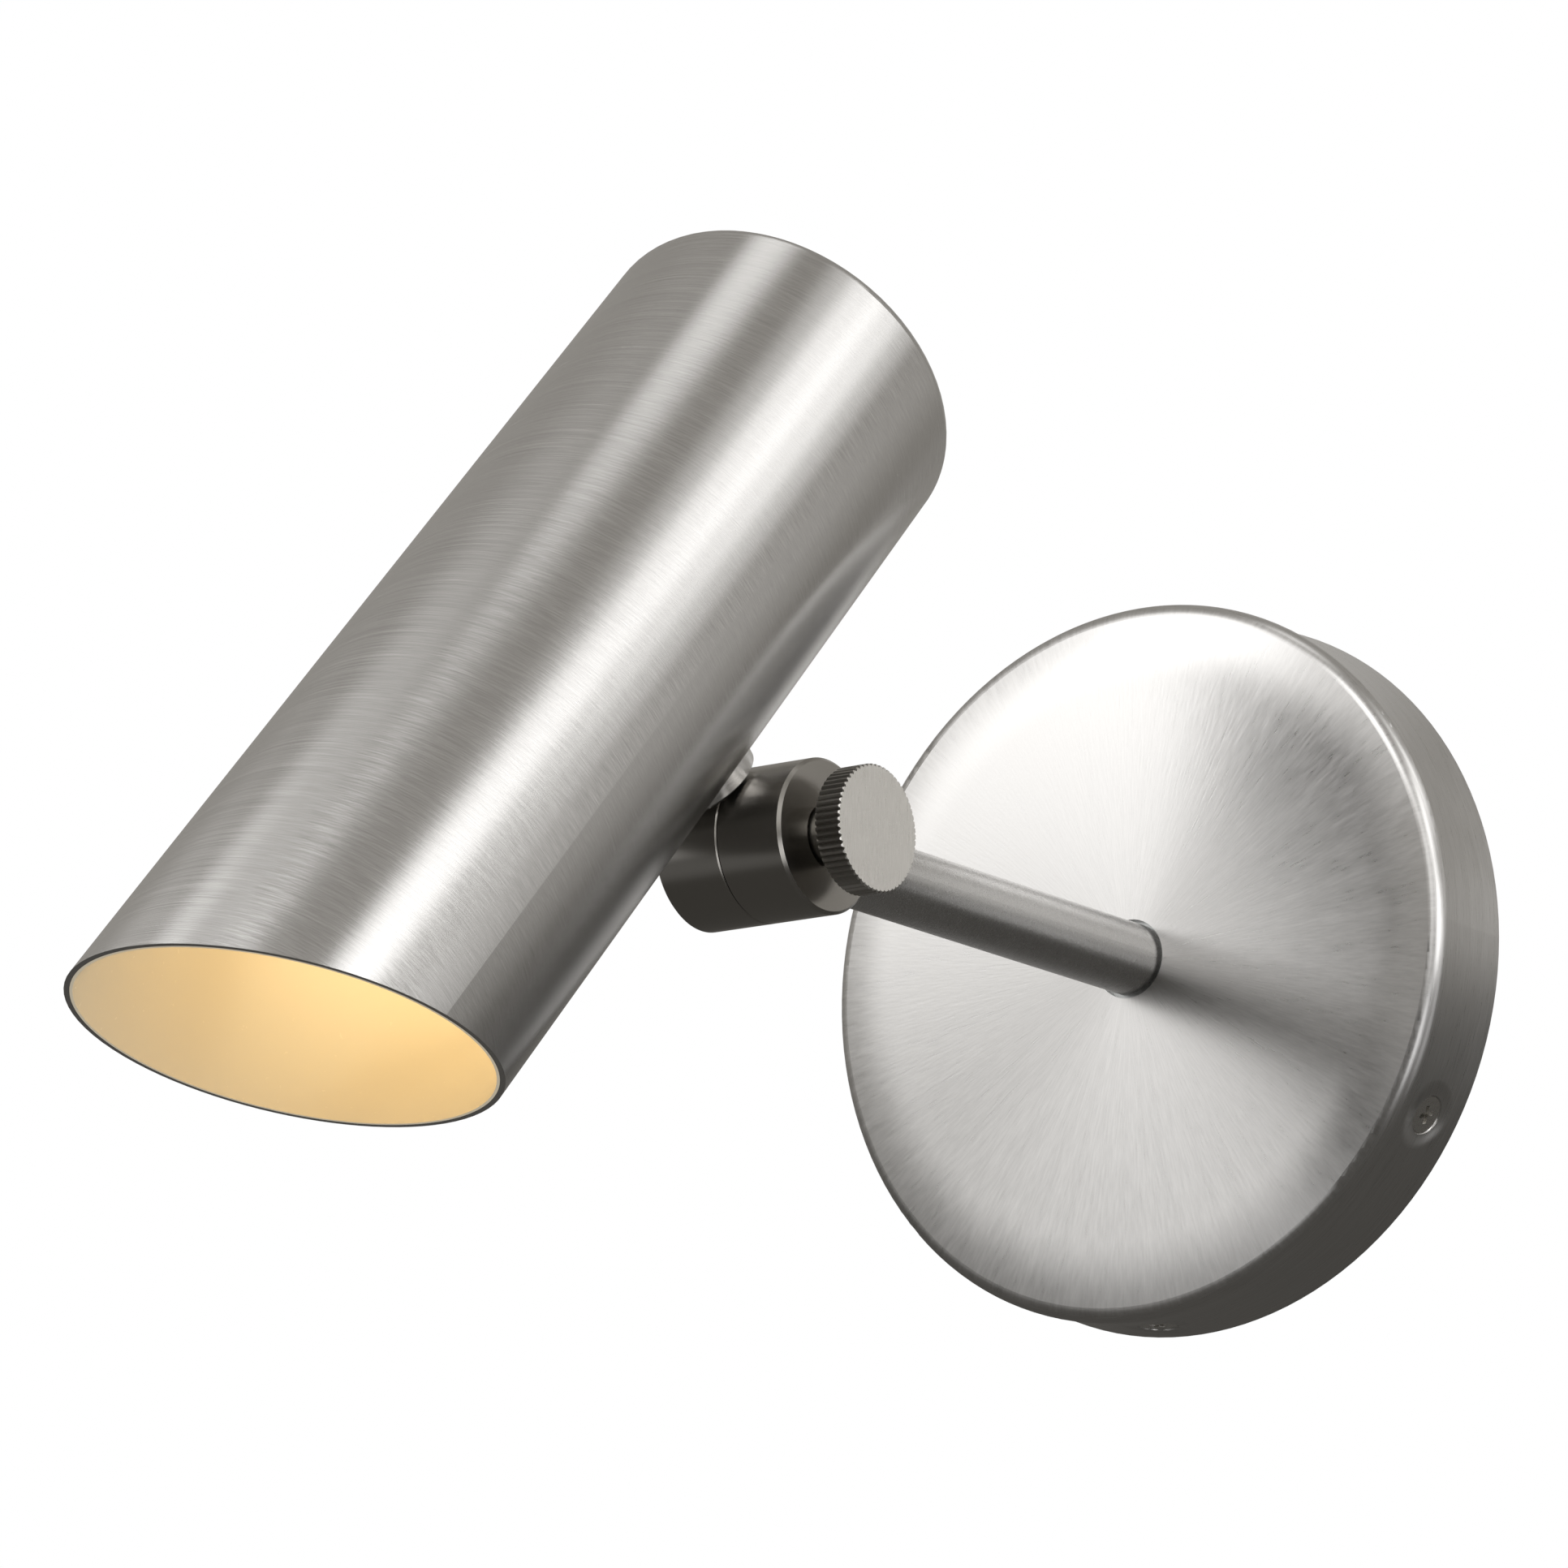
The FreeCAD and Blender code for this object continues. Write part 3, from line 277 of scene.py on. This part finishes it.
# nickel plate brushed round the tube on a belt: long bright bands along the tube, crossed by fine
# strokes, and white enamel sprayed inside, tinted cream as painted warm lamplight and lit warm by
# the lamp
shade_metal = brushed_nickel("satin_nickel_shade", TUBE, TO_MOUTH, NICKEL, rough=0.23, streak=0.8,
                             spread=0.7, painted_inside=True)
# nickel plate on spun sheet, its face turned: soft fans of light round the arm, a dark crescent
# where the face rolls over near its rim, and strokes round the side
face_metal = brushed_nickel("satin_nickel_canopy", CANOPY_CENTRE, Y_AXIS, NICKEL, rough=0.3,
                            streak=0.8, spread=0.6, turned_face=True)
# nickel plate on drawn tube, polished before it was brushed: smoother than the shade, with fainter
# strokes
arm_metal = brushed_nickel("satin_nickel_arm", CANOPY_CENTRE, Y_AXIS, NICKEL, rough=0.27,
                           streak=0.25, spread=0.5)
# nickel plate on a turned bar, its colour darkened as painted shade: deep greys with narrow
# highlights
knuckle_metal = brushed_nickel("satin_nickel_knuckle", KNUCKLE, X_AXIS, NICKEL_PAINTED_SHADE, rough=0.24,
                               streak=0.2, spread=0.5)
# the same painted shade on a knurled knob, with a flat end that was brushed straight and painted
# paler as a painted highlight
knob_metal = brushed_nickel("satin_nickel_thumbscrew", KNUCKLE, X_AXIS, NICKEL_PAINTED_SHADE, rough=0.3,
                            streak=0.5, spread=0.6, flat_end=True)
# the tube's nickel on a small turned collar, so its highlights are short
collar_metal = brushed_nickel("satin_nickel_collar", COLLAR, AWAY, NICKEL, rough=0.24, streak=0.5,
                              spread=0.3)
# zinc plated pressed steel: bluish grey, cloudy in spots of 1.1 mm
zinc = plain_finish("zinc_plated_steel", "#B9BBBB", rough=0.36, metallic=1.0, spots=900.0,
                    contrast=0.08, bump=0.08)
# nickel plated cold-formed screws: brighter and a little warmer than the brushed sheet round them
screw_steel = plain_finish("nickel_plated_screw", "#DAD8D4", rough=0.28, metallic=1.0, spots=1500.0,
                           contrast=0.05, bump=0.05)
# a steel screw coated green for the earth wire: a dull metallic green
ground_green = plain_finish("green_ground_screw", "#1F7A3A", rough=0.4, metallic=0.6, spots=900.0,
                            contrast=0.1, bump=0.05)
# moulded black nylon: soft sheen, faintly uneven
nylon = plain_finish("black_nylon", "#1A1A1A", rough=0.5, metallic=0.0, spots=1200.0, contrast=0.1,
                     bump=0.08)
# glazed steatite: off-white and glossy, its glaze waving over about 3 mm
ceramic = plain_finish("glazed_ceramic", "#E9E6DC", rough=0.22, metallic=0.0, spots=300.0,
                       contrast=0.03, bump=0.03)
# spun aluminium cup of the lamp: bright and clean
cup_metal = plain_finish("lamp_aluminium", "#D6D7D8", rough=0.3, metallic=1.0, spots=1100.0,
                         contrast=0.05, bump=0.06)

# pressed glass front of the lamp, lit from behind: prisms of 0.7 mm, glowing warm and most at its
# middle
LENS_RADIUS, GLOW_MIDDLE, GLOW_RIM = 0.024, 2.2, 1.21
PRISM_SCALE, PRISM_DEPTH = 1400.0, 0.0004
lens, tree = empty_material("lamp_lens_glow")
place, _, _, away, _ = turned_place(tree, TUBE, TO_MOUTH)
prisms = add_node(tree, "TexNoise", {"Vector": place, "Scale": PRISM_SCALE, "Detail": 1.0,
                                     "Roughness": 0.4})
prisms = add_node(tree, "Bump", {"Strength": 0.3, "Distance": PRISM_DEPTH, "Height": prisms})
glow = add_node(tree, "MapRange", {"Value": away, "From Max": LENS_RADIUS, "To Min": GLOW_MIDDLE,
                                   "To Max": GLOW_RIM}, interpolation_type="SMOOTHSTEP")
glass = add_node(tree, "BsdfPrincipled", {
    "Base Color": hex_rgb("#F6F1E4"), "Roughness": 0.18, "Normal": prisms,
    "Emission Color": hex_rgb("#FFE3B0"), "Emission Strength": glow})
add_node(tree, "OutputMaterial", {"Surface": glass})

FINISH = {
    "canopy": face_metal, "arm": arm_metal, "knuckle_arm_half": knuckle_metal,
    "knuckle_head_half": knuckle_metal, "tilt_collar": collar_metal, "tube_shade": shade_metal,
    "thumbscrew": knob_metal,
    "backing_plate": zinc, "mounting_bracket": zinc, "arm_washer": zinc, "arm_nut": zinc,
    "stem": zinc, "stem_washer": zinc, "stem_nut": zinc, "lampholder_strap": zinc,
    "spring_washer": screw_steel, "canopy_screws": screw_steel, "lampholder_screws": screw_steel,
    "lamp_pins": screw_steel, "ground_screw": ground_green,
    "arm_bushing": nylon, "stem_bushing": nylon, "friction_washer": nylon,
    "lampholder": ceramic, "lamp_base": ceramic, "lamp_reflector": cup_metal, "lamp_lens": lens,
}
for name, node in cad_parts.items():
    node.data.materials.clear()
    node.data.materials.append(FINISH[name])

# --- Side screws with cross recesses ------------------------------------------

HEAD_RADIUS, HEAD_EDGE, ROUND_SIDES = 0.0032, 0.0003, 48
# down from the head's edge: its countersink, the shank and the point, as (radius, drop)
SCREW_RINGS = [(HEAD_RADIUS, 0.0001), (0.00175, 0.0016), (0.00175, 0.0053), (0.0009, 0.0009)]
WING_SIZE, WING_TAPER = (0.0042, 0.00105, 0.0026), 0.45
WING_TURNS = [math.radians(turn) for turn in (20, 110)]


def enter_edit_at_bottom(piece):
    """Enter edit mode with only the faces that look down selected."""
    bpy.context.tool_settings.mesh_select_mode = (False, False, True)
    bpy.ops.object.mode_set(mode="EDIT")
    bpy.ops.mesh.select_all(action="DESELECT")
    bpy.ops.object.mode_set(mode="OBJECT")
    for face in piece.data.polygons:
        face.select = face.normal.z < -0.9
    bpy.ops.object.mode_set(mode="EDIT")


# one screw, standing on its point with the middle of its head's edge at the origin
bpy.ops.object.select_all(action="DESELECT")
bpy.ops.mesh.primitive_cylinder_add(vertices=ROUND_SIDES, radius=HEAD_RADIUS, depth=HEAD_EDGE,
                                    end_fill_type="NGON")
screw = bpy.context.object
enter_edit_at_bottom(screw)
last_radius = HEAD_RADIUS
for radius, drop in SCREW_RINGS:
    shrink = radius / last_radius
    bpy.ops.mesh.extrude_region_move(TRANSFORM_OT_translate={"value": (0, 0, -drop)})
    bpy.ops.transform.resize(value=(shrink, shrink, 1), center_override=(0, 0, 0))
    last_radius = radius
bpy.ops.object.mode_set(mode="OBJECT")

# its recess: two crossed wings that narrow downwards, cut from the top
for turn in WING_TURNS:
    bpy.ops.object.select_all(action="DESELECT")
    bpy.ops.mesh.primitive_cube_add(size=1, rotation=(0, 0, turn), scale=WING_SIZE)
    wing = bpy.context.object
    bpy.ops.object.transform_apply(location=True, rotation=True, scale=True)
    enter_edit_at_bottom(wing)
    bpy.ops.transform.resize(value=(WING_TAPER, WING_TAPER, 1), center_override=(0, 0, 0))
    bpy.ops.object.mode_set(mode="OBJECT")
    cut = screw.modifiers.new("recess", "BOOLEAN")
    cut.operation = "DIFFERENCE"
    cut.object = wing
    cut.solver = "EXACT"
    bpy.context.view_layer.objects.active = screw
    bpy.ops.object.modifier_apply(modifier="recess")
    bpy.data.objects.remove(wing)

# three copies, each turned into its hole in the canopy's side
bpy.ops.object.select_all(action="DESELECT")
for angle in SCREW_ANGLES:
    out = Vector((math.cos(angle), 0, math.sin(angle)))
    place = Matrix((Y_AXIS.cross(out), Y_AXIS, out)).transposed().to_4x4()
    place.translation = out * (SCREW_TOP - HEAD_EDGE / 2) - Y_AXIS * SCREW_FROM_WALL
    side_screws = screw.copy()
    side_screws.data = screw.data.copy()
    side_screws.data.transform(place)
    bpy.context.collection.objects.link(side_screws)
    side_screws.select_set(True)
bpy.data.objects.remove(screw)
bpy.context.view_layer.objects.active = side_screws
bpy.ops.object.join()
side_screws.name = "side_screws"
side_screws.data.materials.append(screw_steel)
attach(side_screws, "base")
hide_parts("canopy_screws")

# --- Camera ------------------------------------------------------------------

# fitted to the light's outlines in the photograph
CAMERA_AT = Vector((0.6665, -0.97697, -0.25902))
AZIMUTH, ELEVATION, ROLL = math.radians(37.606), math.radians(-13.833), math.radians(1.295)
FOCAL_PIXELS, PHOTO_PIXELS, SENSOR = 8973.06, 1932, 36


def way_to(azimuth, elevation):
    """Unit vector from the light to a place round it: azimuth 0 is out of the wall, 90 is +X."""
    level = math.cos(elevation)
    return Vector((math.sin(azimuth) * level, -math.cos(azimuth) * level, math.sin(elevation)))


back = way_to(AZIMUTH, ELEVATION)
right = Vector((0, 0, 1)).cross(back).normalized()
up = back.cross(right)
turned_right = right * math.cos(ROLL) + up * math.sin(ROLL)
turned_up = up * math.cos(ROLL) - right * math.sin(ROLL)

camera_data = bpy.data.cameras.new("camera")
camera_data.sensor_width = SENSOR
camera_data.lens = FOCAL_PIXELS / PHOTO_PIXELS * SENSOR
camera_data.clip_end = 20
camera = bpy.data.objects.new("camera", camera_data)
bpy.context.collection.objects.link(camera)
turn = Matrix((turned_right, turned_up, back)).transposed().to_4x4()
camera.matrix_world = Matrix.Translation(CAMERA_AT) @ turn
bpy.context.scene.camera = camera
bpy.context.scene.view_settings.view_transform = "Standard"

# --- Studio ------------------------------------------------------------------

# white where it is seen, pale grey where it lights
ROOM_LIGHT = 0.55
world = bpy.data.worlds.new("studio")
world.use_nodes = True
tree = world.node_tree
tree.nodes.clear()
ray = add_node(tree, "LightPath").node.outputs
seen = add_node(tree, "Math", {0: ray["Is Camera Ray"], 1: ray["Is Glossy Ray"]}, operation="ADD")
seen = add_node(tree, "Math", {0: seen, 1: ray["Is Transmission Ray"]}, operation="ADD",
                use_clamp=True)
lighting = add_node(tree, "Background", {"Color": WHITE, "Strength": ROOM_LIGHT})
backdrop = add_node(tree, "Background", {"Color": WHITE, "Strength": 1.0})
both = add_node(tree, "MixShader", {0: seen, 1: lighting, 2: backdrop})
add_node(tree, "OutputWorld", {"Surface": both})
bpy.context.scene.world = world

# Soft boxes of the light tent that the metal reflects, in degrees:
# (azimuth, elevation, radius of the full light, radius where it ends, brightness).
TENT = [
    (10, 88, 1, 12, 1.02),
    (101, 59, 1, 12, 0.51),
    (108, 50, 1, 12, 0.95),
    (114, 42, 1, 12, 0.94),
    (121, 34, 1, 12, 0.65),
    (136, 19, 1, 12, 0.11),
    (145, 12, 1, 12, 0.10),
    (172, 0, 1, 12, 0.09),
    (-164, 33, 3, 20, 0.15),
    (-70, 35, 3, 17, 0.24),
    (-60, -8, 3, 17, 0.09),
    (-50, 22, 3, 17, 1.46),
    (-36, 60, 3, 17, 0.33),
    (-36, 42, 3, 17, 1.81),
    (-36, 26, 3, 17, 0.70),
    (-34, 0, 3, 17, 0.59),
    (-12, -8, 3, 17, 0.65),
    (-36, -25, 3, 17, 0.11),
    (8, 45, 3, 17, 2.45),
    (35, 30, 3, 17, 0.83),
    (35, 10, 3, 17, 0.78),
    (60, 20, 3, 17, 0.32),
    (80, 35, 3, 17, 1.80),
    (85, 10, 3, 17, 2.39),
    (110, 8, 3, 17, 0.64),
    (60, -15, 3, 17, 1.40),
    (110, -15, 3, 17, 0.47),
]
TENT_RADIUS, TENT_CENTRE = 0.6, (0, -0.08, 0)
BOX_LEVEL = 1.12
ROOM_COLOR = hex_rgb("#FFFAF1")
ROOM_LOW, ROOM_HIGH = 0.085, 0.33      # brightness of the tent's cloth below and above,
LOW_END, HIGH_END = -0.2, 0.3          # between these heights on a tent of radius 1

# white cloth: a warm grey that grows paler upwards, with the soft boxes shining through it
tent_cloth, tree = empty_material("light_tent")
way = add_node(tree, "TexCoord", output="Object")
way = add_node(tree, "VectorMath", {0: way}, operation="NORMALIZE")
height = add_node(tree, "SeparateXYZ", {0: way}, "Z")
room = add_node(tree, "MapRange", {"Value": height, "From Min": LOW_END, "From Max": HIGH_END,
                                   "To Min": ROOM_LOW, "To Max": ROOM_HIGH},
                interpolation_type="SMOOTHSTEP")
boxes = 0.0
for azimuth, elevation, full, end, brightness in TENT:
    middle = way_to(math.radians(azimuth), math.radians(elevation))
    toward = add_node(tree, "VectorMath", {0: way, 1: middle}, "Value", operation="DOT_PRODUCT")
    box = add_node(tree, "MapRange", {
        "Value": toward, "From Min": math.cos(math.radians(end)),
        "From Max": math.cos(math.radians(full)), "To Max": brightness * BOX_LEVEL},
        interpolation_type="SMOOTHSTEP")
    boxes = add_node(tree, "Math", {0: boxes, 1: box}, operation="ADD")
boxes = add_node(tree, "Emission", {"Color": WHITE, "Strength": boxes})
room = add_node(tree, "Emission", {"Color": ROOM_COLOR, "Strength": room})
both = add_node(tree, "AddShader", {0: boxes, 1: room})
add_node(tree, "OutputMaterial", {"Surface": both})

bpy.ops.object.select_all(action="DESELECT")
bpy.ops.mesh.primitive_uv_sphere_add(segments=64, ring_count=32, radius=TENT_RADIUS,
                                     location=TENT_CENTRE)
tent = bpy.context.object
tent.name = "light_tent"
tent.data.materials.append(tent_cloth)
# only reflections show it
tent.visible_camera = False
tent.visible_diffuse = False
tent.visible_transmission = False
tent.visible_shadow = False
tent.visible_volume_scatter = False

# matt pale paint, almost even, far enough below the light to leave views from below free
FLOOR_SIZE, FLOOR_HEIGHT = 30, -1.3
bpy.ops.mesh.primitive_plane_add(size=FLOOR_SIZE, location=(0, 0, FLOOR_HEIGHT))
floor = bpy.context.object
floor.name = "floor"
floor.data.materials.append(plain_finish("pale_floor", "#F2F2F0", rough=0.7, metallic=0.0,
                                         spots=20.0, contrast=0.01, bump=0.0))
floor.visible_glossy = False

# two large round lamps, in degrees, metres and watts: (name, azimuth, elevation, size, power)
LIGHT_CENTRE, LIGHT_AWAY = Vector((0, -0.1, 0)), 1.6
for name, azimuth, elevation, size, power in [("key", -30, 45, 0.8, 6), ("fill", 110, 35, 0.9, 3)]:
    data = bpy.data.lights.new(name, "AREA")
    data.shape = "DISK"
    data.size = size
    data.energy = power
    light = bpy.data.objects.new(name, data)
    bpy.context.collection.objects.link(light)
    way = way_to(math.radians(azimuth), math.radians(elevation))
    aimed = way.to_track_quat("Z", "Y").to_matrix().to_4x4()
    light.matrix_world = Matrix.Translation(LIGHT_CENTRE + way * LIGHT_AWAY) @ aimed
    light.visible_glossy = False

# the lamp's own warm light inside the tube
lamp = bpy.data.lights.new("lamp", "POINT")
lamp.energy = 0.0082
lamp.color = hex_rgb("#FFF6CE")[:3]
lamp.shadow_soft_size = 0.012
lamp_object = bpy.data.objects.new("lamp", lamp)
bpy.context.collection.objects.link(lamp_object)
lamp_object.location = TUBE + TO_MOUTH * LAMP_PLACE
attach(lamp_object, "head")
